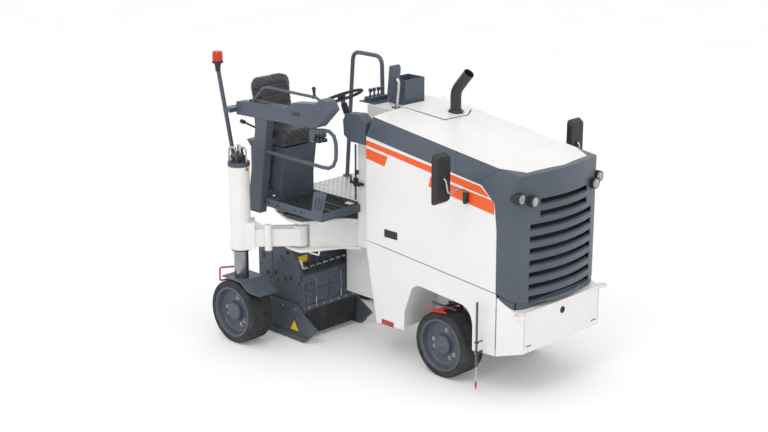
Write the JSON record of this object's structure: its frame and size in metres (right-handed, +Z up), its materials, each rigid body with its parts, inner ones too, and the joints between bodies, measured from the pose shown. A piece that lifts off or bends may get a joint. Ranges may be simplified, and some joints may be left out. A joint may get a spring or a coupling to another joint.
{
  "type": "wheeled cold planer milling machine",
  "caption": "Compact four-wheeled cold planer with a front engine hood, a rear operator stand and a side milling drum between lifting rear wheels.",
  "frame": {"origin": "centre of the whole machine's box, on the ground", "axes": "+X to the front of the machine, +Y to its left, +Z up"},
  "size_m": [3.15, 2.23, 2.6],
  "materials": {
    "tyre": "matt moulded solid rubber",
    "white_paint": "smooth satin white coat",
    "slate_paint": "satin slate-blue coat",
    "dark_metal": "dark coated iron",
    "rod_chrome": "ground and chromed rod",
    "tread_aluminium": "bare checker plate",
    "black_plastic": "matt black plastic",
    "rubber_sheet": "matt rubber sheet",
    "seat_cover": "dark grey leatherette"
  },
  "bodies": {
    "chassis": {"front_axle": "slate_paint", "rear_cover": "white_paint", "exhaust_pipe": "black_plastic", "lower_body": "white_paint", "front_bumper": "white_paint", "sight_rod": "black_plastic", "frame_keel": "slate_paint", "rear_tower": "white_paint", "engine_block": "dark_metal", "deck_frame": "white_paint", "column_left": "white_paint", "drum_housing": "slate_paint", "rubber_skirt": "rubber_sheet", "floor_plate": "tread_aluminium", "footwell": "slate_paint", "seat_pedestal": "slate_paint", "right_console": "slate_paint", "console_post": "slate_paint", "steering_stand": "slate_paint", "lever_ledge": "slate_paint", "display": "slate_paint", "storage_tray": "slate_paint", "entry_handrail": "slate_paint", "beacon_mast": "slate_paint"},
    "hood": {"hood_side_right": "white_paint", "hood_side_left": "white_paint", "hood_top": "white_paint", "hood_band_grille": "slate_paint", "headlights_right": "black_plastic", "headlights_left": "black_plastic", "mirror_right": "black_plastic", "mirror_left": "black_plastic"},
    "steering_wheel": {"steering_wheel": "black_plastic"},
    "knuckle_right": {"knuckle_right": "dark_metal"},
    "knuckle_left": {"knuckle_left": "dark_metal"},
    "wheel_front_right": {"tyre_front_right": "tyre", "rim_front_right": "slate_paint"},
    "wheel_front_left": {"tyre_front_left": "tyre", "rim_front_left": "slate_paint"},
    "swing_arm": {"swing_arm": "white_paint", "column_right": "white_paint"},
    "leg_right": {"lift_rod_right": "rod_chrome", "wheel_carrier_right": "slate_paint"},
    "leg_left": {"lift_rod_left": "rod_chrome", "wheel_carrier_left": "slate_paint"},
    "wheel_rear_right": {"tyre_rear_right": "tyre", "rim_rear_right": "slate_paint"},
    "wheel_rear_left": {"tyre_rear_left": "tyre", "rim_rear_left": "slate_paint"},
    "milling_drum": {"milling_drum": "dark_metal"},
    "side_plate_right": {"side_plate_right": "slate_paint"},
    "side_plate_left": {"side_plate_left": "slate_paint"},
    "scraper": {"scraper": "slate_paint"},
    "seat": {"seat_base": "black_plastic", "seat_cushion": "seat_cover", "seat_backrest": "seat_cover"}
  },
  "joints": [
    {"name": "steer_right", "type": "hinge", "parent": "chassis", "child": "knuckle_right", "pos_m": [0.675, -0.203, 0.29], "axis": [0, 0, 1], "range_deg": [-28, 28]},
    {"name": "steer_left", "type": "hinge", "parent": "chassis", "child": "knuckle_left", "pos_m": [0.675, 0.537, 0.29], "axis": [0, 0, 1], "range_deg": [-28, 28]},
    {"name": "steering_wheel_turn", "type": "hinge", "parent": "chassis", "child": "steering_wheel", "pos_m": [-0.57, -0.333, 2.24], "axis": [-0.4384, 0, 0.8988], "range_deg": [-168, 168]},
    {"name": "wheel_spin_front_right", "type": "hinge", "parent": "knuckle_right", "child": "wheel_front_right", "pos_m": [0.675, -0.268, 0.29], "axis": [0, 1, 0], "continuous": true},
    {"name": "wheel_spin_front_left", "type": "hinge", "parent": "knuckle_left", "child": "wheel_front_left", "pos_m": [0.675, 0.602, 0.29], "axis": [0, 1, 0], "continuous": true},
    {"name": "arm_swing", "type": "hinge", "parent": "chassis", "child": "swing_arm", "pos_m": [-0.845, -0.589, 0.982], "axis": [0, 0, 1], "range_deg": [0, 60]},
    {"name": "lift_right", "type": "slide", "parent": "swing_arm", "child": "leg_right", "axis": [0, 0, 1], "range_m": [-0.1, 0.16]},
    {"name": "lift_left", "type": "slide", "parent": "chassis", "child": "leg_left", "axis": [0, 0, 1], "range_m": [-0.1, 0.16]},
    {"name": "wheel_spin_rear_right", "type": "hinge", "parent": "leg_right", "child": "wheel_rear_right", "pos_m": [-1.205, -0.99, 0.29], "axis": [0, 1, 0], "continuous": true},
    {"name": "wheel_spin_rear_left", "type": "hinge", "parent": "leg_left", "child": "wheel_rear_left", "pos_m": [-1.205, 0.632, 0.29], "axis": [0, 1, 0], "continuous": true},
    {"name": "drum_spin", "type": "hinge", "parent": "chassis", "child": "milling_drum", "pos_m": [-1.077, -0.3, 0.285], "axis": [0, 1, 0], "continuous": true},
    {"name": "side_plate_lift_right", "type": "slide", "parent": "chassis", "child": "side_plate_right", "axis": [0, 0, 1], "range_m": [0, 0.15]},
    {"name": "side_plate_lift_left", "type": "slide", "parent": "chassis", "child": "side_plate_left", "axis": [0, 0, 1], "range_m": [0, 0.15]},
    {"name": "scraper_open", "type": "hinge", "parent": "chassis", "child": "scraper", "pos_m": [-1.376, -0.3, 0.56], "axis": [0, 1, 0], "range_deg": [0, 80]},
    {"name": "hood_tilt", "type": "hinge", "parent": "chassis", "child": "hood", "pos_m": [1.525, 0.167, 0.83], "axis": [0, 1, 0], "range_deg": [0, 50]},
    {"name": "seat_slide", "type": "slide", "parent": "chassis", "child": "seat", "axis": [1, 0, 0], "range_m": [-0.04, 0.06]}
  ],
  "couplings": [
    {"joint": "steer_left", "follows": "steer_right", "ratio": 1},
    {"joint": "steering_wheel_turn", "follows": "steer_right", "ratio": 6}
  ]
}
